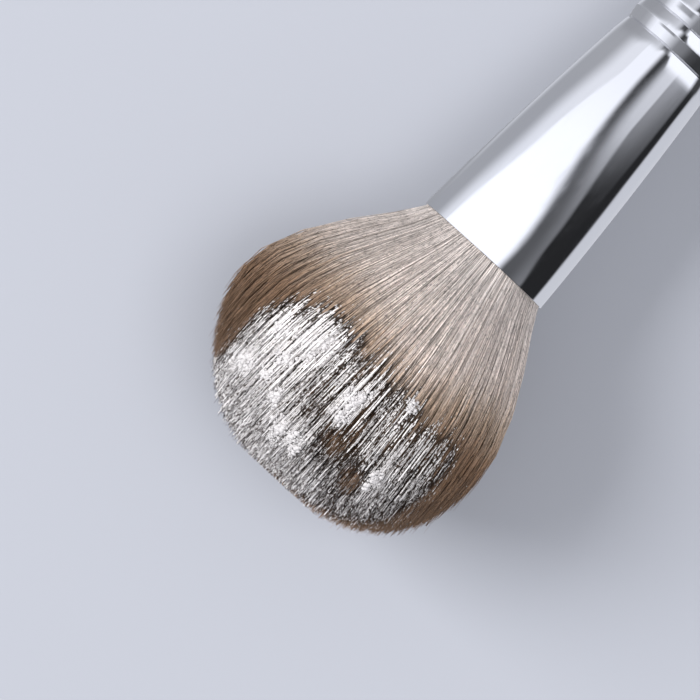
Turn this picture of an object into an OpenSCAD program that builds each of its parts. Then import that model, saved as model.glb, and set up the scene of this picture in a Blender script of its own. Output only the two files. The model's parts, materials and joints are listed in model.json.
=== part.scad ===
// Powder brush, lying on its side as it is put down on a table.
// Each piece is drawn along its own axis: 0 is the ferrule's mouth, the hair runs to minus,
// the handle to plus. to_row() and lie_down() then lay the brush on the table plane, z = 0.

/* [Tuft of hair] */
// Free length of the hair, from the ferrule's mouth to the top of the dome
hair_len = 50; // [44:1:58]
// Largest diameter of the tuft
tuft_d = 53; // [46:1:58]
// Distance from the mouth to the largest diameter
belly_at = 29; // [25:1:32]
// Depth by which the tuft is pressed flat where it rests on the table
press_depth = 0.6; // [0.5:0.1:1]
// Number of strands
strands = 385; // [320:5:400]
// Circumscribed radius of a strand at its root
strand_root_r = 0.42; // [0.3:0.01:0.44]
// Circumscribed radius of a strand at the belly
strand_belly_r = 1; // [0.6:0.05:1]

/* [Ferrule] */
// Outer diameter of the ferrule at its mouth
mouth_d = 26; // [25:0.5:29]
// Outer diameter where the taper ends and the beads begin
neck_d = 18.7; // [18:0.1:20]
// Length of the tapered tube
taper_len = 45.7; // [42:0.1:54]
// How far the taper's side bows out from a straight line
taper_bow = 0.36; // [0.1:0.02:0.6]
// Length over which the taper rounds off into the first crimp groove
taper_round_len = 3; // [1:0.5:5]
// How much radius that rounding takes off
taper_round_drop = 0.15; // [0.05:0.05:0.25]
// Rounding of the rim at the mouth
rim_round = 0.2; // [0.1:0.05:0.2]
// Thickness of the metal
wall = 0.5; // [0.4:0.05:0.6]
// Length of each rolled bead
bead_len = 4.8; // [4:0.1:6]
// How far a bead stands proud
bead_rise = 0.35; // [0.1:0.05:0.6]
// Width of a crimp groove
groove_w = 0.4; // [0.3:0.05:0.8]
// Depth of a crimp groove
groove_depth = 0.25; // [0.15:0.05:0.35]
// Length of the plain collar behind the beads
collar_len = 5.6; // [4:0.1:7]
// Outer diameter of the plain collar
collar_d = 17.8; // [17.4:0.1:17.9]

/* [Handle] */
// Length of the handle outside the ferrule
handle_len = 84; // [70:1:100]
// Diameter of the handle at its thickest
handle_d = 17.5; // [16.8:0.1:17.6]
// Diameter of the handle where it meets the ferrule
shoulder_d = 17; // [16:0.1:17.2]
// Diameter of the round end
tip_d = 10.8; // [9:0.2:13]
// Distance from the ferrule to the thickest place
swell_at = 16; // [12:1:20]
// Length of the tenon inside the ferrule
tenon_len = 20; // [16:1:24]
// Length of the chamfer on the tenon's end
tenon_chamfer_len = 1; // [0.5:0.1:2]
// Radius that the chamfer takes off
tenon_chamfer_drop = 0.5; // [0.2:0.1:1]
// Radial gap between the tenon and the collar's bore
tenon_gap = 0.05; // [0.02:0.01:0.1]

/* [Root of the tuft] */
// How far the backing slice sits behind the mouth
backing_inset = 2; // [1.5:0.5:3]
// Thickness of the backing slice
backing_t = 3; // [2:0.5:4]
// Radial gap between the backing and the ferrule's wall
backing_gap = 0.2; // [0.1:0.05:0.3]
// Length of the bound bundle of roots behind the backing
bundle_len = 6; // [5:0.5:8]
// Diameter of the binding thread
thread_d = 0.6; // [0.4:0.05:0.7]
// Turns of the binding thread
thread_turns = 6; // [4:1:7]
// Thickness of the glue behind the bundle
glue_t = 7; // [5:0.5:9]
// Depth of the hollow that the glue's free face sets with
glue_dish = 1; // [0.5:0.1:1.5]

/* [Hidden] */
$fn = 96;

// Shape of the tuft, all as shares
spread_power_share = 1.38;
dome_along_share = 1.9;
dome_across_share = 2.3;
lean_share = 0.065;
lean_end_share = 0.92;
ragged_share = 0.04;
ring_at_shares = [0, 0.36, 0.8];
ring_size_shares = [0, 0.65, 1];
glue_rim_share = 0.98;
strand_sides = 3;
flat_share = cos(180 / strand_sides);
golden_turn = 180 * (3 - sqrt(5));

mouth_r = mouth_d / 2;
neck_r = neck_d / 2;
collar_r = collar_d / 2;
tip_r = tip_d / 2;
ferrule_len = taper_len + 2 * bead_len + collar_len;
belly_r = tuft_d / 2;
hair_r = mouth_r - wall - backing_gap - strand_root_r;
root_at = backing_inset + backing_t / 2;
backing_end = backing_inset + backing_t;
bundle_end = backing_end + bundle_len;
rim_steps = 4;
taper_steps = 14;
bead_steps = 10;
handle_steps = 40;
tip_steps = 10;

// The brush lies on the pressed belly of the tuft and on the round end of its handle
tip_centre_at = ferrule_len + handle_len - tip_r;
tilt = asin((tuft_d / 2 - press_depth - tip_r) / (tip_centre_at + belly_at));
lift = tuft_d / 2 - press_depth - belly_at * sin(tilt);

// Outer side of the ferrule, as [distance from the mouth, radius] points

// Side of the taper: a shallow parabola that bows out by taper_bow, rounded off at its end
function taper_r(x) =
    let (share = x / taper_len, round_share = max(0, 1 - (taper_len - x) / taper_round_len))
    mouth_r + (neck_r - mouth_r) * share + 4 * taper_bow * share * (1 - share)
        - taper_round_drop * pow(round_share, 2);
rim_side = [for (k = [0:rim_steps]) let (turn = 90 * k / rim_steps)
    [rim_round * (1 - cos(turn)), taper_r(rim_round) - rim_round * (1 - sin(turn))]];
taper_side = [for (k = [1:taper_steps])
    let (x = rim_round + (taper_len - taper_round_len - rim_round) * k / taper_steps)
    [x, taper_r(x)]];
round_side = [for (k = [1:rim_steps]) let (x = taper_len - taper_round_len * (1 - k / rim_steps))
    [x, taper_r(x)]];
// One rolled bead after a crimp groove, from start_x, while the tube goes from r0 to r1
function bead_side(start_x, r0, r1) = concat(
    [[start_x + groove_w / 2, r0 - groove_depth]],
    [for (k = [0:bead_steps]) let (share = k / bead_steps)
        [start_x + groove_w + (bead_len - groove_w) * share,
         r0 + (r1 - r0) * share + bead_rise * sin(180 * share)]]);
waist_r = (neck_r + collar_r) / 2;
ferrule_side = concat(
    rim_side,
    taper_side,
    round_side,
    bead_side(taper_len, taper_r(taper_len), waist_r),
    bead_side(taper_len + bead_len, waist_r, collar_r),
    [[taper_len + 2 * bead_len + groove_w / 2, collar_r - groove_depth],
     [taper_len + 2 * bead_len + groove_w, collar_r],
     [ferrule_len, collar_r]]);

// Strands

// Radius that the outermost strand reaches, at a distance from the mouth
function spread_r(s) =
    hair_r + (belly_r - hair_r) * pow(sin(90 * min(1, max(0, s / belly_at))), spread_power_share);
// Distance from the mouth at which a strand ends on the dome, by its place in the bundle
function strand_end(share, i) =
    let (dome = pow(1 - pow(share, dome_across_share), 1 / dome_along_share))
    belly_at + (hair_len - belly_at) * dome * (1 - ragged_share * rands(0, 1, 1, i)[0]);
// The tuft is fuller on its +y side
function lean(angle, s) =
    1 + lean_share * cos(angle) * sin(180 * min(1, max(0, s / (hair_len * lean_end_share))));
function strand_centre(share, angle, s) =
    let (r = share * spread_r(s) * lean(angle, s))
    [-s, r * cos(angle), r * sin(angle)];

// Laying the brush down: turned by tilt, centred on the origin in x and y, lowest point at z = 0
function tipped(p) = [p[0] * cos(tilt) + p[2] * sin(tilt), p[1], p[2] * cos(tilt) - p[0] * sin(tilt)];
function place_share(i) = sqrt((i + 0.5) / strands);
function tip_point(i) = tipped(strand_centre(place_share(i), i * golden_turn,
    strand_end(place_share(i), i)));
function belly_point(i) = tipped(strand_centre(place_share(i), i * golden_turn, belly_at));
tip_points = [for (i = [0:strands - 1]) tip_point(i)];
belly_points = [for (i = [0:strands - 1]) belly_point(i)];
low_x = min([for (p = tip_points) p[0]]);
high_x = tip_centre_at * cos(tilt) + tip_r;
low_y = min([for (p = belly_points) p[1]]);
high_y = max([for (p = belly_points) p[1]]);
middle = [(low_x + high_x) / 2, (low_y + high_y) / 2];
function to_row(p) = let (q = tipped(p)) [q[0] - middle[0], q[1] - middle[1], q[2] + lift];
module lie_down()
    translate([-middle[0], -middle[1], lift]) rotate([0, tilt, 0]) rotate([0, 90, 0]) children();

// One ring of a strand, round a centre that never sinks into the table
function strand_ring(centre, r, angle) =
    let (c = to_row(centre), low = [c[0], c[1], max(c[2], r * flat_share)])
    [for (k = [0:strand_sides - 1])
        let (turn = angle + (k + 0.5) * 360 / strand_sides,
             p = low + r * [sin(turn) * sin(tilt), cos(turn), sin(turn) * cos(tilt)])
        [p[0], p[1], max(p[2], 0)]];
function strand_points(i) =
    let (share = place_share(i),
         angle = i * golden_turn,
         end = strand_end(share, i),
         tip = to_row(strand_centre(share, angle, end)))
    concat(
        strand_ring(strand_centre(share, angle, -root_at), strand_root_r, angle),
        [for (k = [0:len(ring_at_shares) - 1])
            let (s = end * ring_at_shares[k],
                 r = strand_root_r + (strand_belly_r - strand_root_r) * ring_size_shares[k])
            each strand_ring(strand_centre(share, angle, s), r, angle)],
        [[tip[0], tip[1], max(tip[2], strand_root_r)]]);
strand_rings = len(ring_at_shares) + 1;
strand_size = strand_rings * strand_sides + 1;
function strand_faces(first) =
    let (n = strand_sides, tip = first + strand_rings * n)
    concat(
        [[for (j = [n - 1:-1:0]) first + j]],
        [for (k = [0:strand_rings - 2], j = [0:n - 1])
            let (a = first + k * n + j, b = first + k * n + (j + 1) % n)
            each [[a, b, b + n], [a, b + n, a + n]]],
        [for (j = [0:n - 1]) [tip - n + j, tip - n + (j + 1) % n, tip]]);

module ferrule() {
    // The bore keeps the wall's thickness under every bead and groove, and under the rounded rim
    bore_side = [for (k = [len(ferrule_side) - 1:-1:rim_steps]) ferrule_side[k] - [0, wall]];
    mouth_edge = [0, mouth_r - wall];
    color("silver") lie_down() rotate_extrude()
        polygon([for (p = concat(ferrule_side, bore_side, [mouth_edge])) [p[1], p[0]]]);
}

// Radius of the handle behind its shoulder: it swells, then tapers to the round end
function handle_r(x) =
    let (swell_r = handle_d / 2, taper_share = (x - swell_at) / (handle_len - tip_r - swell_at))
    x < swell_at
        ? shoulder_d / 2 + (swell_r - shoulder_d / 2) * sin(90 * x / swell_at)
        : swell_r + (tip_r - swell_r) * (1 - cos(180 * taper_share)) / 2;

module handle() {
    tenon_r = collar_r - wall - tenon_gap;
    tenon_end = ferrule_len - tenon_len;
    side = [for (k = [0:handle_steps]) let (x = (handle_len - tip_r) * k / handle_steps)
        [handle_r(x), ferrule_len + x]];
    round_end = [for (k = [1:tip_steps]) let (turn = 90 * k / tip_steps)
        [k == tip_steps ? 0 : tip_r * cos(turn), tip_centre_at + tip_r * sin(turn)]];
    tenon = [[0, tenon_end], [tenon_r - tenon_chamfer_drop, tenon_end],
        [tenon_r, tenon_end + tenon_chamfer_len], [tenon_r, ferrule_len]];
    color("#1b1a1c") lie_down() rotate_extrude() polygon(concat(tenon, side, round_end));
}

module bristles() {
    all_points = [for (i = [0:strands - 1]) each strand_points(i)];
    all_faces = [for (i = [0:strands - 1]) each strand_faces(i * strand_size)];
    bundle_r = taper_r(bundle_end) - wall - backing_gap - thread_d;
    color("#b8a794") union() {
        polyhedron(all_points, all_faces);
        lie_down() rotate_extrude() polygon([
            [0, backing_inset],
            [taper_r(backing_inset) - wall - backing_gap, backing_inset],
            [taper_r(backing_end) - wall - backing_gap, backing_end],
            [bundle_r, backing_end],
            [bundle_r, bundle_end],
            [0, bundle_end]]);
    }
}

module binding_thread() {
    bundle_r = taper_r(bundle_end) - wall - backing_gap - thread_d;
    wound = thread_turns * thread_d;
    color("ivory") lie_down() translate([0, 0, backing_end + (bundle_len - wound) / 2])
        rotate_extrude() polygon(concat(
            [[bundle_r, wound], [bundle_r, 0]],
            [for (k = [0:thread_turns * bead_steps])
                let (turn = 180 * k / bead_steps)
                [bundle_r + thread_d * (1 + abs(sin(turn))) / 2, thread_d * k / bead_steps]]));
}

module root_glue() {
    glue_end = bundle_end + glue_t;
    color("#c9b98a") lie_down() rotate_extrude() polygon(concat(
        [[0, bundle_end], [taper_r(bundle_end) - wall, bundle_end], [taper_r(glue_end) - wall, glue_end]],
        [for (k = [0:tip_steps]) let (share = 1 - k / tip_steps)
            [(taper_r(glue_end) - wall) * share * glue_rim_share,
             glue_end - glue_dish * (1 - share * share)]]));
}

ferrule();
handle();
bristles();
binding_thread();
root_glue();
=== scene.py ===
import json
import math

import bmesh
import bpy
import numpy as np
from mathutils import Matrix, Vector


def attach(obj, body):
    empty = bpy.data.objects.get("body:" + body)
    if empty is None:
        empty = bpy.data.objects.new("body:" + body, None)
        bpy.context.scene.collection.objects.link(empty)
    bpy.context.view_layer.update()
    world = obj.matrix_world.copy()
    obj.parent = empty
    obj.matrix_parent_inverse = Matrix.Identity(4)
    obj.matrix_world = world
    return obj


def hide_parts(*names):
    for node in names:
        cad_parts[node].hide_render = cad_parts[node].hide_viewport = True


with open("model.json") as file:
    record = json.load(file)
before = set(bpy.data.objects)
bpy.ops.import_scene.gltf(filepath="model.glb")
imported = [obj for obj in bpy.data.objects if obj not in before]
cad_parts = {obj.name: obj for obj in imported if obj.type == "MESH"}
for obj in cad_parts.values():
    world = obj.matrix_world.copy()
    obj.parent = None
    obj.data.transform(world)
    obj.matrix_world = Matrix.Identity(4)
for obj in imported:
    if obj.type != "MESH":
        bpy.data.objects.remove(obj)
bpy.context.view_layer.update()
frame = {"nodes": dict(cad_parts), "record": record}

print("frame loaded:", list(frame["nodes"]))

# How the brush lies. x runs along it from the ferrule's mouth to the handle's end,
# y to the fuller side of the tuft, z away from the table.
brush = {
    "collarAt": 0.05865,  # from the mouth to the middle of the collar that a rack holds
    "tuftSide": Vector((0, 1, 0)),
}
collar = next(m for m in frame["record"]["mounts"] if m["name"] == "holder_collar")
brushAxis = Vector(collar["axis"]).normalized()
brushUp = brushAxis.cross(brush["tuftSide"]).normalized()
mouthMiddle = Vector(collar["pos_m"]) - brushAxis * brush["collarAt"]
layDown = Matrix.Translation(mouthMiddle) @ Matrix(
    (brushAxis, brush["tuftSide"], brushUp)).transposed().to_4x4()
tiltAngle = math.asin(-brushAxis.z)

mm = 0.001


def finishMesh(bm, name, material, sharpAngle=40):
    # Turns a bmesh into a smooth piece, with creases where its faces meet at more than sharpAngle
    mesh = bpy.data.meshes.new(name)
    bm.to_mesh(mesh)
    bm.free()
    mesh.polygons.foreach_set("use_smooth", [True] * len(mesh.polygons))
    if sharpAngle:
        mesh.set_sharp_from_angle(angle=math.radians(sharpAngle))
    mesh.materials.append(material)
    piece = bpy.data.objects.new(name, mesh)
    bpy.context.collection.objects.link(piece)
    return piece


def turnOnLathe(outline, steps, closed):
    # Spins an outline of (along, radius) points, in millimetres, round the brush's axis
    bm = bmesh.new()
    points = [bm.verts.new((x * mm, 0, r * mm)) for x, r in outline]
    lines = [bm.edges.new(pair) for pair in zip(points, points[1:])]
    if closed:
        lines.append(bm.edges.new((points[-1], points[0])))
    bmesh.ops.spin(bm, geom=points + lines, axis=(1, 0, 0), cent=(0, 0, 0),
                   angle=math.tau, steps=steps, use_merge=True, use_duplicate=False)
    bmesh.ops.remove_doubles(bm, verts=bm.verts[:], dist=1e-7)
    bmesh.ops.recalc_face_normals(bm, faces=bm.faces[:])
    bm.transform(layDown)
    return bm


# Shader helpers

class NodeDesk:
    # A small workbench for one node tree: makes nodes and wires them

    def __init__(self, tree):
        self.tree = tree
        tree.nodes.clear()

    def node(self, kind, **settings):
        made = self.tree.nodes.new(kind)
        for key, value in settings.items():
            setattr(made, key, value)
        return made

    def wire(self, source, target):
        self.tree.links.new(source, target)

    def feed(self, socket, value):
        if isinstance(value, bpy.types.NodeSocket):
            self.wire(value, socket)
        else:
            socket.default_value = value

    def maths(self, operation, *values):
        made = self.node("ShaderNodeMath", operation=operation)
        for socket, value in zip(made.inputs, values):
            self.feed(socket, value)
        return made.outputs[0]

    def step(self, value, low, high, toLow=0.0, toHigh=1.0):
        # A smooth step from toLow to toHigh while value goes from low to high
        made = self.node("ShaderNodeMapRange", interpolation_type="SMOOTHSTEP")
        for socket, given in zip(made.inputs, (value, low, high, toLow, toHigh)):
            self.feed(socket, given)
        return made.outputs[0]

    def mix(self, share, first, second, blend="MIX"):
        made = self.node("ShaderNodeMix", data_type="RGBA", blend_type=blend)
        for name, given in (("Factor_Float", share), ("A_Color", first), ("B_Color", second)):
            self.feed(next(s for s in made.inputs if s.identifier == name), given)
        return next(s for s in made.outputs if s.identifier == "Result_Color")

    def noise(self, vector, scale, detail=2.0, roughness=0.5):
        made = self.node("ShaderNodeTexNoise")
        self.wire(vector, made.inputs["Vector"])
        made.inputs["Scale"].default_value = scale
        made.inputs["Detail"].default_value = detail
        made.inputs["Roughness"].default_value = roughness
        return made.outputs["Fac"]

    def ramp(self, value, stops):
        made = self.node("ShaderNodeValToRGB")
        ramp = made.color_ramp
        while len(ramp.elements) < len(stops):
            ramp.elements.new(0.5)
        for element, (place, colour) in zip(ramp.elements, stops):
            element.position = place
            element.color = (*colour, 1)
        self.feed(made.inputs[0], value)
        return made.outputs[0]

    def attribute(self, name):
        return self.node("ShaderNodeAttribute", attribute_name=name).outputs["Fac"]

    def alongBrush(self, stretch=(1, 1, 1)):
        # Object coordinates turned to run along the brush from its mouth
        place = self.node("ShaderNodeTexCoord").outputs["Object"]
        turned = self.node("ShaderNodeMapping", vector_type="TEXTURE")
        turned.inputs["Location"].default_value = mouthMiddle
        turned.inputs["Rotation"].default_value = (0, tiltAngle, 0)
        self.wire(place, turned.inputs["Vector"])
        stretched = self.node("ShaderNodeMapping", vector_type="POINT")
        stretched.inputs["Scale"].default_value = stretch
        self.wire(turned.outputs[0], stretched.inputs["Vector"])
        return stretched.outputs[0]

    def principled(self, **values):
        shader = self.node("ShaderNodeBsdfPrincipled")
        for name, value in values.items():
            self.feed(shader.inputs[name.replace("_", " ")], value)
        self.wire(shader.outputs[0], self.node("ShaderNodeOutputMaterial").inputs["Surface"])

    def bump(self, height, strength, distance):
        made = self.node("ShaderNodeBump")
        made.inputs["Strength"].default_value = strength
        made.inputs["Distance"].default_value = distance
        self.wire(height, made.inputs["Height"])
        return made.outputs[0]


def newMaterial(name):
    material = bpy.data.materials.new(name)
    material.use_nodes = True
    return material, NodeDesk(material.node_tree)


def polishMarksGroup():
    # Fine marks and faint smudges of a handled, polished surface
    group = bpy.data.node_groups.new("polishMarks", "ShaderNodeTree")
    for name, kind, way in (("Vector", "NodeSocketVector", "INPUT"),
                            ("Mark Scale", "NodeSocketFloat", "INPUT"),
                            ("Smudge Scale", "NodeSocketFloat", "INPUT"),
                            ("Marks", "NodeSocketFloat", "OUTPUT"),
                            ("Smudges", "NodeSocketFloat", "OUTPUT")):
        group.interface.new_socket(name, in_out=way, socket_type=kind)
    desk = NodeDesk(group)
    given = desk.node("NodeGroupInput")
    result = desk.node("NodeGroupOutput")
    marks = desk.node("ShaderNodeTexNoise")
    smudges = desk.node("ShaderNodeTexNoise")
    for made, scale, detail in ((marks, "Mark Scale", 3.0), (smudges, "Smudge Scale", 4.0)):
        desk.wire(given.outputs["Vector"], made.inputs["Vector"])
        desk.wire(given.outputs[scale], made.inputs["Scale"])
        made.inputs["Detail"].default_value = detail
    desk.wire(marks.outputs["Fac"], result.inputs["Marks"])
    desk.wire(desk.step(smudges.outputs["Fac"], 0.45, 0.7), result.inputs["Smudges"])
    return group


polishMarks = polishMarksGroup()


def placePolishMarks(desk, vector, markScale, smudgeScale):
    made = desk.node("ShaderNodeGroup", node_tree=polishMarks)
    desk.wire(vector, made.inputs["Vector"])
    made.inputs["Mark Scale"].default_value = markScale
    made.inputs["Smudge Scale"].default_value = smudgeScale
    return made.outputs["Marks"], made.outputs["Smudges"]


# Ferrule

ferrule = {
    "mouthRadius": 13.0,
    "neckRadius": 9.35,
    "collarRadius": 8.9,
    "taperLength": 45.7,
    "taperBow": 0.36,
    "roundLength": 3.0,
    "roundDrop": 0.15,
    "rimRound": 0.06,
    "wall": 0.5,
    "beadLength": 4.8,
    "beadRise": 0.35,
    "beadCrown": 1.25,  # 2 is a round crown, 1 is a ridge
    "grooveWidth": 0.4,
    "grooveDepth": 0.25,
    "collarLength": 5.6,
    "spinSteps": 192,
    "metal": (0.91, 0.91, 0.925, 1),
    "smudgedMetal": (0.88, 0.885, 0.91, 1),
    "roughness": (0.03, 0.08),
}


def taperRadius(x):
    f = ferrule
    share = x / f["taperLength"]
    rounding = max(0.0, 1 - (f["taperLength"] - x) / f["roundLength"])
    return (f["mouthRadius"] + (f["neckRadius"] - f["mouthRadius"]) * share
            + 4 * f["taperBow"] * share * (1 - share) - f["roundDrop"] * rounding ** 2)


def ferruleOutline():
    # The outside from the rim to the collar's end, then back along the bore
    f = ferrule
    outside = []
    for k in range(7):
        turn = math.pi / 2 * k / 6
        outside.append((f["rimRound"] * (1 - math.cos(turn)),
                        taperRadius(f["rimRound"]) - f["rimRound"] * (1 - math.sin(turn))))
    for x in (f["rimRound"] + 0.02, *np.linspace(f["rimRound"], f["taperLength"], 72)[1:]):
        outside.append((x, taperRadius(x)))
    waist = (f["neckRadius"] + f["collarRadius"]) / 2
    start = f["taperLength"]
    for before, after in ((taperRadius(start), waist), (waist, f["collarRadius"])):
        outside += crimpGroove(start, before)
        for away in np.linspace(-1, 1, 25)[1:-1]:
            share = 0.5 + 0.5 * away * abs(away)
            outside.append((start + f["grooveWidth"] + (f["beadLength"] - f["grooveWidth"]) * share,
                            before + (after - before) * share
                            + f["beadRise"] * (1 - abs(2 * share - 1) ** f["beadCrown"])))
        start += f["beadLength"]
    outside += crimpGroove(start, f["collarRadius"])
    end = start + f["collarLength"]
    outside += [(end - 0.1, f["collarRadius"]), (end, f["collarRadius"] - 0.1)]
    bore = [(x, r - f["wall"]) for x, r in outside[6::4]]
    return outside + [(end, f["collarRadius"] - f["wall"])] + bore[::-1] + [
        (0, f["mouthRadius"] - f["wall"])]


def crimpGroove(start, radius):
    # Two fine lines with a bright ridge between them, as the crimping wheel leaves them
    width, depth = ferrule["grooveWidth"], ferrule["grooveDepth"]
    return [(start + width * share, radius - depth * drop) for share, drop in (
        (0.0, 0.0), (0.12, 0.75), (0.3, 1.0), (0.42, 0.8), (0.5, 0.55),
        (0.58, 0.8), (0.7, 1.0), (0.88, 0.75), (1.0, 0.0))]


def polishedMetal():
    material, desk = newMaterial("polishedMetal")
    place = desk.alongBrush((0.25, 1, 1))
    marks, smudges = placePolishMarks(desk, place, 900.0, 70.0)
    rough = desk.step(marks, 0.3, 0.8, *ferrule["roughness"])
    rough = desk.maths("ADD", rough, desk.maths("MULTIPLY", smudges, 0.04))
    tint = desk.mix(smudges, ferrule["metal"], ferrule["smudgedMetal"])
    desk.principled(Base_Color=tint, Metallic=1.0, Roughness=rough,
                    Normal=desk.bump(marks, 0.03, 0.00002))
    return material


def makeFerrule():
    bm = turnOnLathe(ferruleOutline(), ferrule["spinSteps"], closed=True)
    piece = finishMesh(bm, "ferrule_tube", polishedMetal())
    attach(piece, "root")
    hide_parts("ferrule")


# Handle

handle = {
    "start": 60.9,
    "length": 84.0,
    "thickest": 8.75,
    "shoulder": 8.5,
    "tip": 5.4,
    "swellAt": 16.0,
    "tenonLength": 20.0,
    "tenonRadius": 8.35,
    "spinSteps": 128,
    "lacquer": (0.012, 0.012, 0.014, 1),
    "rubbedLacquer": (0.03, 0.029, 0.03, 1),
}


def handleOutline():
    h = handle
    straight = h["length"] - h["tip"]
    outline = [(h["start"] - h["tenonLength"], 0.0),
               (h["start"] - h["tenonLength"], h["tenonRadius"] - 0.5),
               (h["start"] - h["tenonLength"] + 1, h["tenonRadius"]),
               (h["start"], h["tenonRadius"]),
               (h["start"], h["shoulder"] - 0.15)]
    for x in np.linspace(0.15, straight, 80):
        if x < h["swellAt"]:
            radius = h["shoulder"] + (h["thickest"] - h["shoulder"]) * math.sin(
                math.pi / 2 * x / h["swellAt"])
        else:
            share = (x - h["swellAt"]) / (straight - h["swellAt"])
            radius = h["thickest"] + (h["tip"] - h["thickest"]) * (1 - math.cos(math.pi * share)) / 2
        outline.append((h["start"] + x, radius))
    for k in range(1, 17):
        turn = math.pi / 2 * k / 16
        outline.append((h["start"] + straight + h["tip"] * math.sin(turn),
                        0.0 if k == 16 else h["tip"] * math.cos(turn)))
    return outline


def blackLacquer():
    material, desk = newMaterial("blackLacquer")
    marks, smudges = placePolishMarks(desk, desk.alongBrush((0.4, 1, 1)), 260.0, 60.0)
    grain = desk.noise(desk.alongBrush((0.03, 1, 1)), 900.0, 3.0)
    rough = desk.maths("ADD", 0.16, desk.maths("MULTIPLY", smudges, 0.1))
    tint = desk.mix(desk.maths("MULTIPLY", marks, 0.35), handle["lacquer"], handle["rubbedLacquer"])
    desk.principled(Base_Color=tint, Roughness=rough, Coat_Weight=0.6, Coat_Roughness=0.06,
                    Normal=desk.bump(grain, 0.04, 0.00003))
    return material


def makeHandle():
    bm = turnOnLathe(handleOutline(), handle["spinSteps"], closed=False)
    piece = finishMesh(bm, "handle_lacquered", blackLacquer())
    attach(piece, "root")
    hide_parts("handle")


# Tuft

hair = {
    "pieces": 8,
    "doublings": 12,  # each piece holds two to this power of hairs
    "sides": 3,
    "ringShares": (0.08, 0.2, 0.36, 0.55, 0.75, 0.91),  # the first one lies in the mouth
    "rootDepth": 3.0,
    "mouthRadius": 12.55,
    "bellyRadius": 26.3,
    "bellyAt": 29.0,
    "length": 50.2,
    "spreadPower": 1.17,
    "domeAlong": 1.9,  # the dome would be round with 2 for both
    "domeAcross": 2.5,
    "curlInward": 0.08,
    "curlOver": 0.38,  # the upper and lower hairs bend over the dome
    "fan": 0.42,  # how far the hairs drift to the tuft's two sides on their way out
    "lean": 0.065,  # how much fuller the tuft is on one side, and slimmer on the other
    "leanEnd": 0.92,  # where along the tuft that ends
    "clumps": 7400,
    "astray": 0.9,  # how far locks stray from an even spiral; 1 is just over half a gap between two
    "rootSpread": 2.0,  # how far a lock's hairs mix with its neighbours' near the mouth
    "packing": 0.43,  # below 0.5 the outside of the bundle is the denser part
    "clumpTight": 0.58,  # how far a lock's hairs draw together at their ends
    "dippedTight": 0.62,  # and how much further where they were dipped
    "bundleEdge": 0.998,  # the outermost place in the bundle, as a share of its radius
    "thickness": 0.082,  # a hair's radius
    "thickRange": (0.65, 1.5),  # shares of it, from the finest hair to the coarsest
    "tipFrom": 0.82,  # from this share of its length a hair is drawn in
    "tipThin": 0.78,
    "wander": 0.28,  # how far a hair's end strays
    "lockWander": 0.6,  # how far a whole lock strays, as a share of that
    "wave": 0.24,
    "ragged": 0.55,  # how uneven the hairs' lengths are
    "lockRagged": 0.6,  # how uneven the locks' lengths are, as a share of that
    "shortShare": 0.1,
    "shortBy": (0.5, 3.5),
    "shortest": 8.0,
    "overLength": 0.6,
    "flyawayShare": 0.012,
    # How much of their wander and of their waves the dipped hairs lose
    "dippedCalm": (0.85, 0.7),
    "bandShift": 0.015,  # how far the hair's colours are moved towards the mouth
    # How far they draw back to the tips near the middle, where that is and over what width
    "bandDraw": 0.1,
    "bandDrawAt": -0.15,
    "bandDrawWidth": 0.42,
    "paintedSideShade": (0.36, 0.14),  # painted shade: how much darker the hair is drawn along the fuller side's and the other side's edges
    "floorEase": 0.8,
    "seed": 11,
}
goldenTurn = math.pi * (3 - math.sqrt(5))


def smooth(value, low, high):
    share = np.clip((value - low) / (high - low), 0, 1)
    return share * share * (3 - 2 * share)


def tuftRadius(s):
    h = hair
    share = np.clip(s / h["bellyAt"], 0, 1)
    grown = np.sin(np.pi / 2 * share) ** h["spreadPower"]
    return h["mouthRadius"] + (h["bellyRadius"] - h["mouthRadius"]) * grown


def bentPlace(across, s):
    # Fans a hair out to the tuft's sides, away from the middle of its upper and lower face, then
    # bends it over the dome
    size = np.maximum(np.abs(across), 1e-9)
    side = across.real / size
    side = side * (1 + hair["fan"] * np.clip(s / hair["length"], 0, 1) ** 2 * (1 - side ** 2))
    face = np.where(across.imag < 0, -1, 1) * np.sqrt(np.clip(1 - side ** 2, 0, 1))
    past = np.clip((s - hair["bellyAt"]) / (hair["length"] - hair["bellyAt"]), 0, 1) ** 2
    return size * (side * (1 - hair["curlInward"] * past) + 1j * face * (1 - hair["curlOver"] * past))


def domeEnd(share):
    h = hair
    top = (1 - np.clip(share, 0, 1) ** h["domeAcross"]) ** (1 / h["domeAlong"])
    return h["bellyAt"] + (h["length"] - h["bellyAt"]) * top


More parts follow.
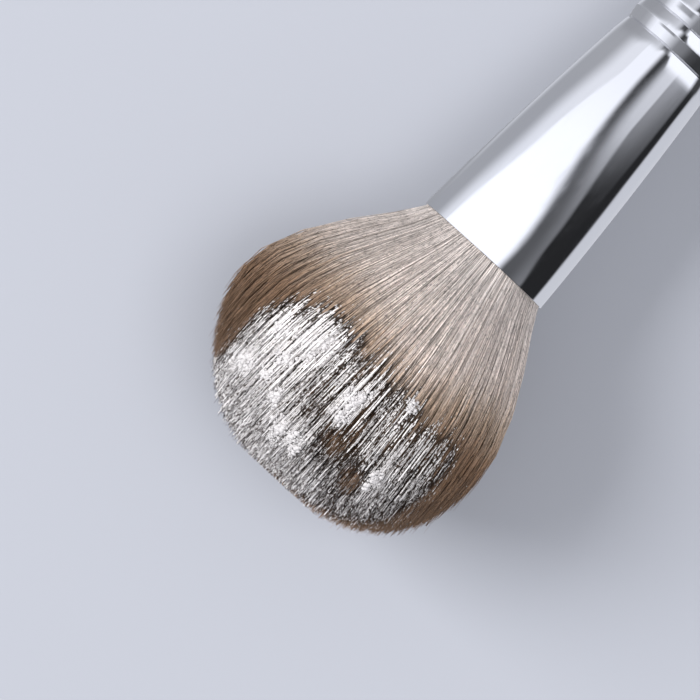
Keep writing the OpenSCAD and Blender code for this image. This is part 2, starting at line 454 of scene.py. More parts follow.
def growHairs():
    # Where each hair stands in the bundle, how long it is and which way it strays
    h = hair
    rng = np.random.default_rng(h["seed"])
    count = h["pieces"] * 2 ** h["doublings"]
    clump = np.arange(count) % h["clumps"]
    clumpShare = ((clump + 0.5) / h["clumps"]) ** h["packing"]
    centre = clumpShare * np.exp(1j * clump * goldenTurn)
    astray = rng.normal(0, h["astray"], h["clumps"]) + 1j * rng.normal(0, h["astray"], h["clumps"])
    centre = centre + astray[clump] / math.sqrt(h["clumps"])
    centre = centre / np.maximum(1, np.abs(centre) / h["bundleEdge"])
    place = np.arange(count) // h["clumps"]
    spread = h["rootSpread"] * np.sqrt((place + rng.random(count)) / (count / h["clumps"]))
    turn = place * goldenTurn + rng.uniform(0, math.tau, h["clumps"])[clump]
    offset = spread / math.sqrt(h["clumps"]) * np.exp(1j * turn)
    tooFar = np.maximum(1, np.abs(centre + offset) / h["bundleEdge"])
    offset = (centre + offset) / tooFar - centre
    # Flank is 0 for a hair on its lock's crest and 1 for one on a flank or beneath. A lock's crest
    # is its side away from the tuft's middle, and a little more so away from the table
    outward = (centre + 0.6j) / np.abs(centre + 0.6j)
    within = offset / outward * math.sqrt(h["clumps"]) / h["rootSpread"]
    flank = np.clip(0.5 + 0.7 * np.abs(within.imag) - 0.5 * within.real, 0, 1)
    end = domeEnd(np.abs(centre))
    for _ in range(8):
        end = 0.5 * (end + domeEnd(np.abs(bentPlace(centre, end))))
    clumpRagged = rng.normal(0, 1, h["clumps"])[clump]
    end = end + h["ragged"] * (h["lockRagged"] * clumpRagged + rng.normal(0, 1, count))
    short = rng.random(count) < h["shortShare"]
    end = end - short * rng.uniform(*h["shortBy"], count)
    # Powder holds the hairs of a lock together on the side that was dipped
    dipped = smooth(centre.imag, -0.1, 0.35)
    calm, calmWave = h["dippedCalm"]
    stray = h["wander"] * (rng.normal(0, 1, count) + 1j * rng.normal(0, 1, count))
    stray *= 1 - calm * dipped
    lockStray = rng.normal(0, 1, h["clumps"]) + 1j * rng.normal(0, 1, h["clumps"])
    stray += h["lockWander"] * h["wander"] * lockStray[clump]
    wave = h["wave"] * (rng.normal(0, 1, (2, count)) + 1j * rng.normal(0, 1, (2, count)))
    wave *= 1 - calmWave * dipped
    flyaway = rng.random(count) < h["flyawayShare"]
    stray = np.where(flyaway, stray * 3, stray)
    finest, coarsest = h["thickRange"]
    return {
        "centre": centre,
        "offset": offset,
        "end": np.clip(end, h["shortest"], h["length"] + h["overLength"]),
        "stray": stray,
        "dipped": dipped,
        "wave": wave,
        "turn": rng.uniform(0, math.tau, count),
        "tone": rng.normal(0, 1, count),
        "clumpTone": rng.normal(0, 1, h["clumps"])[clump],
        "thick": finest + (coarsest - finest) * rng.random(count) ** 1.5,
        "flank": flank,
        "dustLuck": rng.random(count),
        "clumpLuck": rng.random(h["clumps"])[clump],
    }


def hairPlaces(hairs, which, share):
    # Local places, in millimetres, of points at these shares along these hairs
    h = hair
    end = hairs["end"][which]
    inMouth = h["ringShares"][0]
    s = np.where(share < inMouth, -h["rootDepth"] * (1 - share / inMouth),
                 end * (share - inMouth) / (1 - inMouth))
    outside = np.clip(s / end, 0, 1)
    tight = 1 - h["clumpTight"] * smooth(outside, 0.6, 1)
    tight = tight * (1 - h["dippedTight"] * hairs["dipped"][which] * smooth(outside, 0.5, 0.75))
    across = hairs["centre"][which] + hairs["offset"][which] * tight
    place = bentPlace(across, s) * tuftRadius(s)
    place = place + hairs["stray"][which] * outside ** 1.5
    place = place + hairs["wave"][0][which] * np.sin(math.pi * outside)
    place = place + hairs["wave"][1][which] * np.sin(math.tau * outside) * 0.6
    fuller = np.sin(np.pi * np.clip(s / (h["length"] * h["leanEnd"]), 0, 1))
    place = place * (1 + h["lean"] * fuller * np.cos(np.angle(across)))
    return s, place


def powderCover(s, y, z):
    # How much powder lies at a place of the tuft: the dome's side away from the table is dipped
    p = powder
    border = np.interp(y, p["borderAcross"], p["borderAlong"])
    before, after = p["borderBlur"]
    cover = smooth(s, border - before, border + after)
    cover = cover * np.interp(y, (-20, -2, 14), (p["farSide"], p["middle"], p["nearSide"]))
    cover = cover * (1 - p["endLoss"] * smooth(s, 32, 42))
    cover = cover * smooth(y, -25, -17) * (1 - p["brinkLoss"] * smooth(y, 18.5, 22.5) * (s < 43))
    for along, across, radius in p["cakes"]:
        away = ((s - along) ** 2 + (y - across) ** 2) / radius ** 2
        cover = cover + p["cakeGain"] * np.exp(-away)
    for along, across, radius, loss in p["barePatches"]:
        away = ((s - along) ** 2 + (y - across) ** 2) / radius ** 2
        cover = cover - loss * np.exp(-away)
    facing = smooth(z / tuftRadius(s) + 0.012 * y, -0.45, 0.4)
    around = p["underside"] * smooth(s, 36, 46)
    return np.clip(cover, 0, 1.3) * facing + around * (1 - facing)


def tuftHeight(s, y):
    # How high the tuft's surface lies over its axis
    h = hair
    past = np.clip((s - h["bellyAt"]) / (h["length"] - h["bellyAt"]), 0, 1)
    radius = tuftRadius(s) * (1 - past ** h["domeAlong"]) ** (1 / h["domeAcross"])
    fuller = np.sin(np.pi * np.clip(s / (h["length"] * h["leanEnd"]), 0, 1))
    wide = radius * (1 + h["lean"] * fuller * np.sign(y))
    return radius * np.sqrt(np.clip(1 - (y / wide) ** 2, 0, 1))


powder = {
    # The powder's upper border, as places across and along the tuft in millimetres
    "borderAcross": (-24, -20, -13, -4.5, 2, 10, 17.5, 21, 23),
    "borderAlong": (22, 22.5, 24.2, 24.3, 23.7, 22.6, 24.7, 29, 35.5),
    "borderBlur": (1.5, 2.5),  # it thickens from this far before the border to this far past it
    # How much lies on the fuller side, in the middle, on the other side and beneath
    "nearSide": 0.7,
    "middle": 0.67,
    "farSide": 0.585,
    "underside": 0.16,
    "endLoss": 0.12,  # how much less lies on the dome's end
    "brinkLoss": 0.6,  # and on the brink of the fuller side
    # Along, across and radius of the cakes, then of the bare patches with what they lose
    "cakes": ((31.5, 16.2, 1.6), (30, 10.3, 2.7), (39.8, 17.4, 2.0), (40.4, 9.7, 1.7),
              (31.9, 0.1, 2.3), (44.3, 6, 1.8), (43.6, 2.3, 1.8), (26.4, -8.1, 1.3),
              (35.5, -0.4, 1.5), (39.3, 13.4, 1.3), (39.7, -12, 1.5), (35, 13, 1.5)),
    "cakeGain": 0.45,
    "barePatches": ((28.5, 1.6, 1.6, 0.3), (39.6, -2.9, 3.6, 0.24),
                    (42.8, -9.1, 2.6, 0.28), (36, 4, 2.2, 0.15)),
    # How much more powder it takes to show white in a lock's bare patches, between the grains
    # along a hair, on a clean lock and on a lock's hidden flanks
    "patchNeed": 0.2,
    "grainNeed": 0.38,
    "lockNeed": 0.06,
    "flankNeed": 0.38,
    "crumbDoublings": 13,  # there are two to this power of crumbs
    "crumbSize": (0.06, 0.26),
    "crumbFlatness": 0.6,
    "crumbRoughness": 0.16,
    "coarseShare": 0.22,  # of the heaped crumbs
    # Sizes of the coarse and the fine heaped crumbs and of the loose ones, as shares of crumbSize
    "coarse": 2.1,
    "fine": 0.8,
    "loose": 0.4,
    "inCakes": 0.5,  # share of the crumbs that lie in the cakes
    "drifts": 9,
    "driftSpread": 0.45,
    "driftBlur": 0.2,
    "heapHeight": 0.4,
    "heapSunk": 0.2,
    "colour": (0.88, 0.85, 0.845, 1),
    "shaded": (0.46, 0.432, 0.42, 1),
    "crumbColours": ((0.62, 0.6, 0.602, 1), (0.52, 0.497, 0.5, 1)),
    "seed": 5,
}


def doubleUp(bm, doublings):
    # Doubles a mesh again and again, and numbers the copies
    number = bm.verts.layers.int.new("strand")
    for doubling in range(doublings):
        copy = bmesh.ops.duplicate(bm, geom=bm.verts[:] + bm.edges[:] + bm.faces[:])
        for item in copy["geom"]:
            if isinstance(item, bmesh.types.BMVert):
                item[number] += 2 ** doubling


def strandTemplate():
    # One hair as a tube from 0 to 1 along z, cut into rings, then doubled up
    h = hair
    bm = bmesh.new()
    bmesh.ops.create_cone(bm, cap_ends=True, segments=h["sides"], radius1=1, radius2=1, depth=1)
    bmesh.ops.translate(bm, verts=bm.verts[:], vec=(0, 0, 0.5))
    for share in h["ringShares"]:
        bmesh.ops.bisect_plane(bm, geom=bm.verts[:] + bm.edges[:] + bm.faces[:],
                               plane_co=(0, 0, share), plane_no=(0, 0, 1))
    bakeMap = bm.loops.layers.uv.new("OFBake")
    for face in bm.faces:
        flat = abs(face.normal.z) > 0.5
        middle = math.atan2(*face.calc_center_median().xy)
        for loop in face.loops:
            x, y, z = loop.vert.co
            turn = (math.atan2(x, y) - middle + math.pi) % math.tau - math.pi
            row = round(middle / math.tau * h["sides"]) % h["sides"]
            across = (row + 0.5 + turn / math.tau * h["sides"]) / h["sides"]
            loop[bakeMap].uv = (0.5 + 0.05 * x, z + 0.02 * y) if flat else (across, z)
    doubleUp(bm, h["doublings"])
    mesh = bpy.data.meshes.new("strandTemplate")
    bm.to_mesh(mesh)
    bm.free()
    return mesh


def readMesh(mesh):
    count = len(mesh.vertices)
    strand = np.empty(count, np.int32)
    mesh.attributes["strand"].data.foreach_get("value", strand)
    co = np.empty(count * 3, np.float32)
    mesh.vertices.foreach_get("co", co)
    corner = np.empty(len(mesh.loops), np.int32)
    mesh.loops.foreach_get("vertex_index", corner)
    uv = np.empty(len(mesh.loops) * 2, np.float32)
    mesh.uv_layers["OFBake"].uv.foreach_get("vector", uv)
    return strand, co.reshape(-1, 3), corner, uv.reshape(-1, 2)


def spreadBakeMap(mesh, number, uv, doublings):
    # Gives each copy its own cell of the map that the finished colours are laid out on
    cells = 2 ** ((doublings + 1) // 2)
    cell = np.stack([number % cells, number // cells], 1)
    mesh.uv_layers["OFBake"].uv.foreach_set("vector", ((cell + 0.08 + 0.84 * uv) / cells).ravel())


def writeValue(mesh, name, values):
    layer = mesh.attributes.new(name, "FLOAT", "POINT")
    layer.data.foreach_set("value", np.asarray(values, np.float32))


def toRow(local):
    # Local places in millimetres to the row frame in metres, eased so that none sinks into the table
    place = local * mm @ np.array(layDown.to_3x3().transposed()) + np.array(mouthMiddle)
    ease = hair["floorEase"] * mm
    low = place[:, 2] < ease
    place[low, 2] = ease * np.exp((place[low, 2] - ease) / ease)
    return place


def makeHairPiece(template, hairs, index, material):
    h = hair
    strand, co, corner, uv = readMesh(template)
    which = strand * h["pieces"] + index
    share = co[:, 2]
    s, place = hairPlaces(hairs, which, share)
    end = hairs["end"][which]
    tipward = smooth(share, h["tipFrom"], 1.0)
    cover = powderCover(s, place.real, place.imag)
    nearTip = smooth(s, end - 10, end - 4)
    rind = smooth(np.abs(place) / tuftRadius(s), 0.9, 0.99)
    side = (hairs["centre"][which].real - h["bandDrawAt"]) / h["bandDrawWidth"]
    bandShift = h["bandShift"] - h["bandDraw"] * np.exp(-side ** 2)
    dust = cover * np.maximum(nearTip, rind)
    # Painted shade: the hair's colour is drawn a little darker down both sides of the tuft
    toSide = place.real / tuftRadius(s)
    fullerEdge, otherEdge = smooth(toSide, 0.15, 0.95), smooth(-toSide, 0.55, 0.95)
    paintedSideShade = -h["paintedSideShade"][0] * fullerEdge - h["paintedSideShade"][1] * otherEdge
    caked = smooth(dust - 0.25 - 0.45 * hairs["flank"][which], 0, 0.25)
    # Caked powder thickens a hair and blunts its tip
    thick = h["thickness"] * hairs["thick"][which] * (0.8 + 0.35 * smooth(s, 0, 20))
    thick = thick * (1 - h["tipThin"] * tipward * (1 - 0.6 * caked)) * (1 + 0.5 * caked)
    turn = np.arctan2(co[:, 0], co[:, 1]) + hairs["turn"][which]
    local = np.stack([-s, place.real + thick * np.cos(turn), place.imag + thick * np.sin(turn)], 1)
    mesh = template.copy()
    mesh.name = f"hair_{index + 1}"
    mesh.vertices.foreach_set("co", toRow(local).astype(np.float32).ravel())
    spreadBakeMap(mesh, strand[corner], uv, h["doublings"])
    mesh.attributes.remove(mesh.attributes["strand"])
    writeValue(mesh, "outOfMouth", np.clip(s / h["length"] + bandShift, 0, 1))
    writeValue(mesh, "hairTone", hairs["tone"][which])
    writeValue(mesh, "lockTone", hairs["clumpTone"][which])
    writeValue(mesh, "paintedSideShade", paintedSideShade)
    writeValue(mesh, "dust", dust)
    writeValue(mesh, "flank", hairs["flank"][which])
    writeValue(mesh, "hairLuck", hairs["dustLuck"][which])
    writeValue(mesh, "lockLuck", hairs["clumpLuck"][which])
    mesh.polygons.foreach_set("use_smooth", [True] * len(mesh.polygons))
    mesh.materials.append(material)
    mesh.update()
    piece = bpy.data.objects.new(mesh.name, mesh)
    bpy.context.collection.objects.link(piece)
    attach(piece, "root")
    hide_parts("bristles")


hairColours = {
    "root": (0.645, 0.585, 0.553),
    "middle": (0.668, 0.58, 0.528),
    "fading": (0.4, 0.3, 0.228),
    "band": (0.245, 0.152, 0.095),
    "tip": (0.235, 0.147, 0.094),
    # near-black painted shade for the gaps between powder streaks
    "gap": (0.022, 0.012, 0.007, 1),
    "toneSwing": 0.19,  # from hair to hair
    "lockSwing": 0.04,  # from lock to lock
}


def hairMaterial():
    c, h = hairColours, hair
    material, desk = newMaterial("tuftHair")
    out = desk.attribute("outOfMouth")
    tone = desk.attribute("hairTone")
    lock = desk.attribute("lockTone")
    shifted = desk.maths("ADD", out, desk.maths("MULTIPLY", tone, 0.018))
    shifted = desk.maths("ADD", shifted, desk.maths("MULTIPLY", lock, 0.012))
    colour = desk.ramp(shifted, ((0.0, c["root"]), (0.29, c["middle"]), (0.42, c["fading"]),
                                 (0.54, c["band"]), (1.0, c["tip"])))
    swing = desk.maths("ADD", desk.maths("MULTIPLY", tone, c["toneSwing"]),
                       desk.maths("MULTIPLY", lock, c["lockSwing"]))
    # painted shade down the tuft's sides darkens the hair's colour
    swing = desk.maths("ADD", swing, desk.attribute("paintedSideShade"))
    bright = desk.maths("POWER", 2.0, swing)
    hairLuck = desk.attribute("hairLuck")
    lockLuck = desk.attribute("lockLuck")

    def alongHair(luck, pace):
        # Noise that runs along each hair and differs from one to the next
        place = desk.node("ShaderNodeCombineXYZ")
        desk.feed(place.inputs[0], desk.maths("MULTIPLY", luck, 370.0))
        desk.feed(place.inputs[1], desk.maths("MULTIPLY", out, pace * h["length"]))
        return desk.noise(place.outputs[0], 1.0, roughness=0.6)

    # Each hair catches the light in places, where it comes up between its neighbours, and has
    # short flecks of shade where another one crosses it
    bright = desk.maths("MULTIPLY", bright, desk.step(
        alongHair(hairLuck, 0.5), 0.3, 0.7, 0.72, 1.28))
    grain = alongHair(hairLuck, 1.6)
    bright = desk.maths("MULTIPLY", bright, desk.step(grain, 0.3, 0.5, 0.45, 1.08))
    colour = desk.mix(1.0, colour, bright, blend="MULTIPLY")
    # Powder clings in short streaks that follow the hairs. Between them, in the dusted part, the hair is
    # drawn near black: painted shade in the gaps between the caked streaks
    dust = desk.attribute("dust")
    patch = desk.step(alongHair(lockLuck, 0.32), 0.34, 0.66)
    need = desk.maths("MULTIPLY", patch, powder["patchNeed"])
    for what, share in ((desk.step(grain, 0.34, 0.64), powder["grainNeed"]),
                        (lockLuck, powder["lockNeed"]),
                        (desk.attribute("flank"), powder["flankNeed"])):
        need = desk.maths("ADD", need, desk.maths("MULTIPLY", what, share))
    over = desk.maths("SUBTRACT", dust, need)
    white = desk.step(over, -0.05, 0.05)
    # Painted shade: a hair in the dusted part that the powder leaves bare turns near black
    gap = desk.step(over, -0.25, -0.04, 1.0, 0.85)
    gap = desk.maths("MULTIPLY", desk.step(dust, 0.34, 0.47), gap)
    colour = desk.mix(gap, colour, c["gap"])
    shade = desk.step(desk.maths("ADD", grain, desk.maths("MULTIPLY", hairLuck, 0.3)), 0.6, 0.95)
    chalk = desk.mix(shade, powder["colour"], powder["shaded"])
    colour = desk.mix(white, colour, chalk)
    rough = desk.maths("ADD", 0.42, desk.maths("MULTIPLY", white, 0.5))
    desk.principled(Base_Color=colour, Roughness=rough, IOR=1.5)
    return material


def hairCore():
    # The inside of the tuft, which closes the gaps between the hairs
    h = hair
    outline = [(h["rootDepth"], 0.0), (h["rootDepth"], h["mouthRadius"] * 0.93)]
    inset = 2.6
    for s in np.linspace(0, 1, 30) * h["bellyAt"]:
        outline.append((-s, float(tuftRadius(s)) - 0.6 - inset * float(smooth(s, 0, 22))))
    widest = outline[-1][1]
    top = h["length"] - 4.2 - h["bellyAt"]
    for k in range(1, 25):
        turn = math.pi / 2 * k / 24
        outline.append((-h["bellyAt"] - top * math.sin(turn),
                        0.0 if k == 24 else widest * math.cos(turn) ** 0.9))
    bm = turnOnLathe(outline, 72, closed=False)
    material, desk = newMaterial("tuftInside")
    out = desk.node("ShaderNodeSeparateXYZ")
    desk.wire(desk.alongBrush(), out.inputs[0])
    outShare = desk.maths("MULTIPLY", out.outputs[0], -1 / (h["length"] * mm))
    # Near the mouth the inside has the hair's own greige. Towards the dome it turns near black, and fine
    # noise lines turn near black too: painted shade deep between the hairs
    lines = desk.noise(desk.alongBrush((0.05, 1, 1)), 2200.0, 2.0)
    shade = desk.ramp(outShare, ((0.0, (0.58, 0.51, 0.46)), (0.35, (0.5, 0.41, 0.34)),
                                 (0.5, (0.06, 0.036, 0.022)), (1.0, (0.03, 0.018, 0.011))))
    shade = desk.mix(desk.maths("MULTIPLY", lines, 0.6), shade, (0.02, 0.013, 0.009, 1))
    desk.principled(Base_Color=shade, Roughness=0.9)
    piece = finishMesh(bm, "hair_inside", material, sharpAngle=0)
    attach(piece, "root")
    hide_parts("bristles")


def powderMaterial():
    material, desk = newMaterial("loosePowder")
    fine = desk.noise(desk.alongBrush(), 5200.0, 3.0, 0.6)
    tint = desk.mix(fine, *powder["crumbColours"])
    desk.principled(Base_Color=tint, Roughness=0.95, Specular_IOR_Level=0.25,
                    Normal=desk.bump(fine, 0.15, 0.00005))
    return material


def makeCrumbs(hairs):
    # Small lumps of powder that sit on hair ends where the cover is thick
    p = powder
    rng = np.random.default_rng(p["seed"])
    bm = bmesh.new()
    bmesh.ops.create_icosphere(bm, subdivisions=1, radius=1)
    bakeMap = bm.loops.layers.uv.new("OFBake")
    for face in bm.faces:
        for loop in face.loops:
            loop[bakeMap].uv = loop.vert.co.xy * 0.4 + Vector((0.5, 0.5 + 0.05 * loop.vert.co.z))
    doubleUp(bm, p["crumbDoublings"])
    piece = finishMesh(bm, "powder_crumbs", powderMaterial(), sharpAngle=0)
    mesh = piece.data
    lump, co, corner, uv = readMesh(mesh)
    mesh.attributes.remove(mesh.attributes["strand"])
    spreadBakeMap(mesh, lump[corner], uv, p["crumbDoublings"])
    count = 2 ** p["crumbDoublings"]
    # Loose crumbs sit near the ends of hairs, the others are heaped in the cakes
    everyHair = np.arange(len(hairs["end"]))
    s, place = hairPlaces(hairs, everyHair, 1 - 0.1 * rng.random(len(everyHair)) ** 2)
    cover = powderCover(s, place.real, place.imag)
    chance = (np.clip(cover - 0.3, 0, 1) + 0.004 * (s > 20)) * (place.imag > -4)
    chosen = rng.choice(everyHair, count, replace=False, p=chance / chance.sum())
    cakes = np.array(p["cakes"])
    cake = rng.choice(len(cakes), count, p=cakes[:, 2] ** 2 / (cakes[:, 2] ** 2).sum())
    # A cake's crumbs lie in a few uneven drifts that run with the hairs
    drifts = rng.normal(0, p["driftSpread"], (len(cakes), p["drifts"], 2))
    drift = drifts[cake, rng.integers(0, p["drifts"], count)]
    away = (drift + rng.normal(0, p["driftBlur"], (count, 2)) * (1.6, 0.9)) * cakes[cake, 2:3]
    along = cakes[cake, 0] + away[:, 0]
    across = cakes[cake, 1] + away[:, 1]
    heap = p["heapHeight"] * np.exp(-(away ** 2).sum(1) / cakes[cake, 2]) * rng.random(count)
    heaped = rng.random(count) < p["inCakes"]
    onCake = np.stack([-along, across, tuftHeight(along, across) + heap - p["heapSunk"]], 1)
    onHair = np.stack([-s, place.real, place.imag], 1)[chosen]
    middle = np.where(heaped[:, None], onCake, onHair)
    low, high = p["crumbSize"]
    bigger = rng.random(count) ** 2
    coarse = rng.random(count) < p["coarseShare"]
    grade = np.where(heaped, np.where(coarse, p["coarse"], p["fine"]), p["loose"])
    size = low + (high - low) * bigger * grade
    shape = rng.uniform(0.7, 1.3, (count, 3)) * size[:, None]
    shape[:, 2] *= p["crumbFlatness"]
    rough = 1 + rng.uniform(-p["crumbRoughness"], p["crumbRoughness"], len(co))[:, None]
    local = middle[lump] + co * rough * shape[lump]
    mesh.vertices.foreach_set("co", toRow(local).astype(np.float32).ravel())
    mesh.update()
    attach(piece, "root")


def makeTuft():
    hairs = growHairs()
    template = strandTemplate()
    material = hairMaterial()
    for index in range(hair["pieces"]):
        makeHairPiece(template, hairs, index, material)
    bpy.data.meshes.remove(template)
    hairCore()
    makeCrumbs(hairs)


# Pieces inside the ferrule keep their CAD shapes

def threadMaterial():
    material, desk = newMaterial("twistedThread")
    twist = desk.noise(desk.alongBrush((1, 0.3, 0.3)), 1800.0, 2.0)
    tint = desk.mix(twist, (0.8, 0.76, 0.66, 1), (0.55, 0.5, 0.4, 1))
    desk.principled(Base_Color=tint, Roughness=0.85, Normal=desk.bump(twist, 0.5, 0.0001))
    return material


def glueMaterial():
    material, desk = newMaterial("setGlue")
    cloud = desk.noise(desk.alongBrush(), 300.0, 3.0)
    tint = desk.mix(cloud, (0.62, 0.5, 0.26, 1), (0.46, 0.34, 0.16, 1))
    desk.principled(Base_Color=tint, Roughness=desk.step(cloud, 0.3, 0.7, 0.2, 0.4))
    return material


def dressInnerNodes():
    for name, material in (("binding_thread", threadMaterial()), ("root_glue", glueMaterial())):
        slots = frame["nodes"][name].data.materials
        slots.clear()
        slots.append(material)


makeFerrule()
print("ferrule turned")
makeHandle()
print("handle turned")
makeTuft()
print("tuft grown")
dressInnerNodes()
print("inner pieces dressed")

# Camera: square to the brush, as the photograph sees it, far away with a long lens

shot = {
    "lens": 400.0,
    "sensor": 36.0,
    "imageSize": 700,
    "pixelsPerMetre": 6000.0,
    "mouthPixel": (483.0, 255.7),
    "axisAngle": 47.4,
    "towardsTuft": 0.1,  # degrees by which the camera looks from the tuft's side
}


def placeCamera():
    lean = math.radians(shot["towardsTuft"])
    away = (brushUp * math.cos(lean) - brushAxis * math.sin(lean)).normalized()
    flatAxis = (brushAxis - away * brushAxis.dot(away)).normalized()
    flatSide = away.cross(flatAxis)
    angle = math.radians(shot["axisAngle"])
    right = flatAxis * math.cos(angle) - flatSide * math.sin(angle)
    top = flatAxis * math.sin(angle) + flatSide * math.cos(angle)
    focal = shot["imageSize"] * shot["lens"] / shot["sensor"]
    half = shot["imageSize"] / 2
    x = (shot["mouthPixel"][0] - half) / shot["pixelsPerMetre"]
    y = (half - shot["mouthPixel"][1]) / shot["pixelsPerMetre"]
    place = mouthMiddle + away * focal / shot["pixelsPerMetre"] - right * x - top * y
    data = bpy.data.cameras.new("camera")
    data.lens = shot["lens"]
    data.sensor_width = shot["sensor"]
    data.clip_end = 20
    camera = bpy.data.objects.new("camera", data)
    camera.matrix_world = Matrix.Translation(place) @ Matrix((right, top, away)).transposed().to_4x4()
    bpy.context.collection.objects.link(camera)
    bpy.context.scene.camera = camera
    return right, top, away, flatAxis, flatSide


imageRight, imageTop, towardsCamera, imageAxis, imageSide = placeCamera()

# Floor and studio

studio = {
    "floorSize": 6.0,
    "floor": (0.362, 0.373, 0.413, 1),
    "floorCloud": (0.352, 0.363, 0.403, 1),
    "key": {"place": (-1.6, 0.6, 1.6), "size": 1.3, "power": 62.0},
    "fill": {"place": (0.35, -0.3, 1.8), "size": 0.9, "power": 16.0},
    "air": 0.66,
    "airColour": (0.93, 0.95, 1.0, 1),
    "backdrop": (0.62, 0.64, 0.71, 1),
    "metalTint": (0.955, 0.985, 1.08),
    # What the metal sees: where its panels' edges lie, in degrees round the brush, and how bright
    # they are, at seven slopes from the mouth's to the neck's
    "slopes": (6.7, 14.6),
    "level": 2.2,  # how steep a ray is that an even tube would mirror
    "room": {
        "boxLeft": (-99, -97, -93, -89, -91, -86, -79),
        "boxLeftHalf": (14, 14, 15, 16, 18, 19, 20),
        "frameLine": (-84, -80, -73, -66, -63, -55, -43),
        "frameLevel": (0.34, 0.34, 0.34, 0.32, 0.28, 0.22, 0.16),
        "boxRight": (28, 31, 24, 13, 3, -4, -8),
        "boxRightHalf": (8, 8, 9, 10, 8, 7, 7),
        "secondRise": (59, 57, 51, 42, 28, 17, 14),
        "secondFall": (76, 67, 64, 57, 49.5, 43.5, 44),
        "secondPeak": (0.1, 0.07, 0.1, 0.13, 0.25, 0.52, 0.62),
        "valley": (0.075, 0.085, 0.08, 0.1, 0.12, 0.07, 0.03),
        "shelf": (0.0, 0.0, 0.0, 0.01, 0.08, 0.19, 0.27),
        "tableEdge": (118, 116, 115, 113, 110.5, 110, 108),
        "boxLevel": 0.82,
        "leftLevel": 0.38,
        "tableLevel": 0.62,
        "farTableLevel": 0.22,
        "darkness": 0.02,
    },
    # By angle: what a bead's side towards the hair sees, what its side away from it sees, and
    # from which slope on, and up to which, the rounded neck comes to see the latter
    "hairward": ((-104, 0.37), (-86, 0.46), (-74, 0.8), (-64, 1.0), (-40, 1.05), (-26, 0.9),
                 (-12, 0.55), (0, 0.25), (20, 0.2), (35, 0.08), (56, 0.04), (120, 0.04)),
    "handleward": ((-104, 0.34), (-80, 0.37), (-60, 0.47), (-44, 0.55), (-28, 0.66), (-22, 0.5),
                   (-16, 0.09), (-8, 0.06), (-2, 0.35), (3, 1.1), (84, 1.1), (94, 0.06), (120, 0.05)),
    "neckFrom": ((-120, 12.4), (-68, 12.6), (-48, 17.5), (-24, 17.5), (-14, 21), (6, 21),
                 (14, 12.1), (120, 12.3)),
    "neckTo": ((-120, 21), (-68, 21), (-48, 23.5), (-24, 23.5), (-14, 24), (6, 24), (16, 19), (120, 19)),
}


def makeFloor():
    bm = bmesh.new()
    bmesh.ops.create_grid(bm, x_segments=1, y_segments=1, size=studio["floorSize"] / 2)
    material, desk = newMaterial("tableTop")
    place = desk.node("ShaderNodeTexCoord").outputs["Object"]
    cloud = desk.noise(place, 6.0, 2.0)
    tint = desk.mix(cloud, studio["floor"], studio["floorCloud"])
    desk.principled(Base_Color=tint, Roughness=0.8, Specular_IOR_Level=0.2)
    floor = finishMesh(bm, "table_top", material, sharpAngle=0)
    floor.visible_glossy = False


def addLamp(name, settings):
    data = bpy.data.lights.new(name, "AREA")
    data.shape = "SQUARE"
    data.size = settings["size"]
    data.energy = settings["power"]
    x, y, z = settings["place"]
    place = mouthMiddle + imageRight * x + imageTop * y + towardsCamera * z
    lamp = bpy.data.objects.new(name, data)
    lamp.location = place
    lamp.rotation_euler = (mouthMiddle - place).to_track_quat("-Z", "Y").to_euler()
    lamp.visible_glossy = False
    bpy.context.collection.objects.link(lamp)


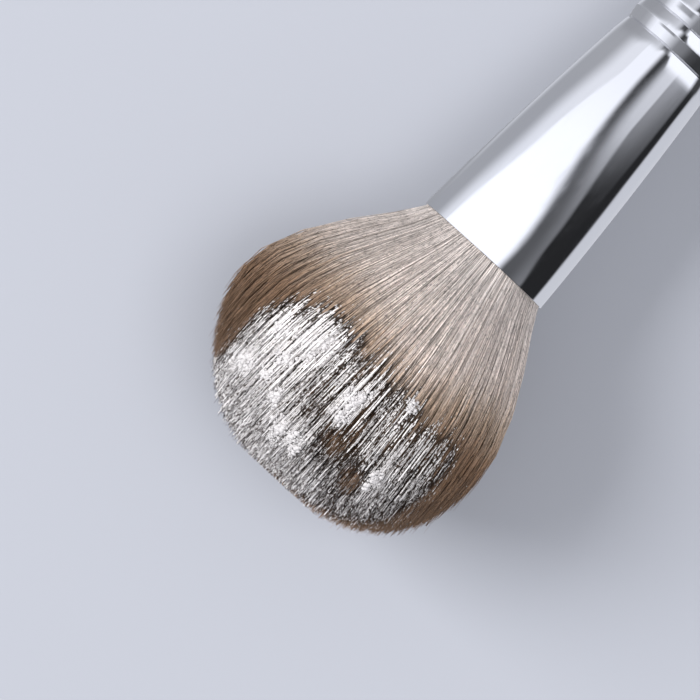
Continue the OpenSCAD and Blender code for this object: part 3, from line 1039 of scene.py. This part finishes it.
def makeWorld():
    # The room as the metal sees it: a large soft box to the left of and above the brush, a dark
    # room to the right, the pale table below. Angles run round the brush, 0 towards the camera,
    # and the panels' edges slant so that they draw in towards the handle.
    world = bpy.data.worlds.new("studio")
    world.use_nodes = True
    bpy.context.scene.world = world
    desk = NodeDesk(world.node_tree)
    way = desk.node("ShaderNodeTexCoord").outputs["Generated"]

    def part(direction):
        made = desk.node("ShaderNodeVectorMath", operation="DOT_PRODUCT")
        desk.wire(way, made.inputs[0])
        made.inputs[1].default_value = direction
        return made.outputs["Value"]

    around = desk.maths("ARCTAN2", part(-imageSide), part(towardsCamera))
    around = desk.maths("MULTIPLY", around, 180 / math.pi)
    handleward = desk.maths("ARCSINE", part(imageAxis))
    handleward = desk.maths("MULTIPLY", handleward, 180 / math.pi)
    near, far = studio["slopes"]
    half = desk.maths("COSINE", desk.maths("MULTIPLY", around, math.pi / 360))
    steep = desk.maths("DIVIDE", desk.maths("SUBTRACT", handleward, studio["level"]),
                       desk.maths("MAXIMUM", half, 0.45))
    slope = desk.step(desk.maths("ADD", steep, studio["level"]), near, far)
    slope.node.interpolation_type = "LINEAR"

    def track(values):
        # An angle or a brightness that changes from the mouth to the neck in even steps
        low, high = min(values) - 1e-3, max(values) + 1e-3
        stops = [(k / (len(values) - 1), ((v - low) / (high - low),) * 3)
                 for k, v in enumerate(values)]
        return desk.maths("MULTIPLY_ADD", desk.ramp(slope, stops), high - low, low)

    def rise(edge, half):
        return desk.step(around, desk.maths("SUBTRACT", edge, half), desk.maths("ADD", edge, half))

    def fall(edge, half):
        return desk.maths("SUBTRACT", 1.0, rise(edge, half))

    def times(*values):
        product = values[0]
        for value in values[1:]:
            product = desk.maths("MULTIPLY", product, value)
        return product

    def plus(*values):
        total = values[0]
        for value in values[1:]:
            total = desk.maths("ADD", total, value)
        return total

    r = studio["room"]
    boxRight = track(r["boxRight"])
    softBox = times(rise(track(r["boxLeft"]), track(r["boxLeftHalf"])), r["boxLevel"])
    softBox = plus(softBox, times(rise(track(r["frameLine"]), 1.5), track(r["frameLevel"])))
    softBox = times(softBox, fall(boxRight, track(r["boxRightHalf"])))
    second = times(rise(track(r["secondRise"]), 13.0), fall(track(r["secondFall"]), 3.0),
                   track(r["secondPeak"]))
    valley = times(rise(boxRight, 8.0), fall(track(r["secondFall"]), 4.0), track(r["valley"]))
    shelf = times(rise(track(r["secondFall"]), 4.0), fall(91.0, 4.0), track(r["shelf"]),
                  desk.step(around, 45.0, 90.0, 1.1, 0.45))
    table = times(rise(track(r["tableEdge"]), 4.0), r["tableLevel"])
    farTable = times(fall(-148.0, 12.0), r["farTableLevel"])
    leftGrey = times(fall(track(r["boxLeft"]), track(r["boxLeftHalf"])), r["leftLevel"])
    light = plus(softBox, second, valley, shelf, table, farTable, leftGrey, r["darkness"])
    # Only the beads and the rounded neck are steep enough to look past all this
    across = desk.step(around, -120.0, 120.0)
    across.node.interpolation_type = "LINEAR"

    def look(levels, most=1.2):
        # Levels from 0 to most, given for angles from -120 to 120
        stops = [((angle + 120) / 240, (level / most,) * 3) for angle, level in levels]
        return desk.maths("MULTIPLY", desk.ramp(across, stops), most)

    beyond = desk.step(steep, look(studio["neckFrom"], 24), look(studio["neckTo"], 24))
    beyond = times(beyond, fall(112.0, 6.0))
    before = times(desk.step(steep, 1.5, 3.8, 1.0, 0.0), fall(112.0, 6.0))
    armHeight = desk.maths("ABSOLUTE", plus(steep, 8.0))
    arm = times(desk.step(armHeight, 3.0, 5.0, 0.6, 0.0), rise(-54.0, 10.0), fall(-14.0, 6.0))
    hairSide = times(look(studio["hairward"]), desk.maths("SUBTRACT", 1.0, arm),
                     desk.step(steep, -45.0, -28.0, 0.45, 1.0))
    light = desk.mix(beyond, light, look(studio["handleward"]))
    light = desk.mix(before, light, hairSide)
    seen = desk.node("ShaderNodeCombineColor")
    for socket, tint in zip(seen.inputs, studio["metalTint"]):
        desk.wire(desk.maths("MULTIPLY", light, tint), socket)
    paths = desk.node("ShaderNodeLightPath")
    mirrored = desk.node("ShaderNodeBackground")
    desk.wire(seen.outputs[0], mirrored.inputs["Color"])
    air = desk.node("ShaderNodeBackground")
    air.inputs["Color"].default_value = studio["airColour"]
    air.inputs["Strength"].default_value = studio["air"]
    choose = desk.node("ShaderNodeMixShader")
    desk.wire(paths.outputs["Is Glossy Ray"], choose.inputs[0])
    desk.wire(air.outputs[0], choose.inputs[1])
    desk.wire(mirrored.outputs[0], choose.inputs[2])
    backdrop = desk.node("ShaderNodeBackground")
    backdrop.inputs["Color"].default_value = studio["backdrop"]
    behind = desk.node("ShaderNodeMixShader")
    desk.wire(paths.outputs["Is Camera Ray"], behind.inputs[0])
    desk.wire(choose.outputs[0], behind.inputs[1])
    desk.wire(backdrop.outputs[0], behind.inputs[2])
    desk.wire(behind.outputs[0], desk.node("ShaderNodeOutputWorld").inputs["Surface"])


makeFloor()
addLamp("key", studio["key"])
addLamp("fill", studio["fill"])
makeWorld()
bpy.context.scene.view_settings.view_transform = "Standard"
print("studio lit")
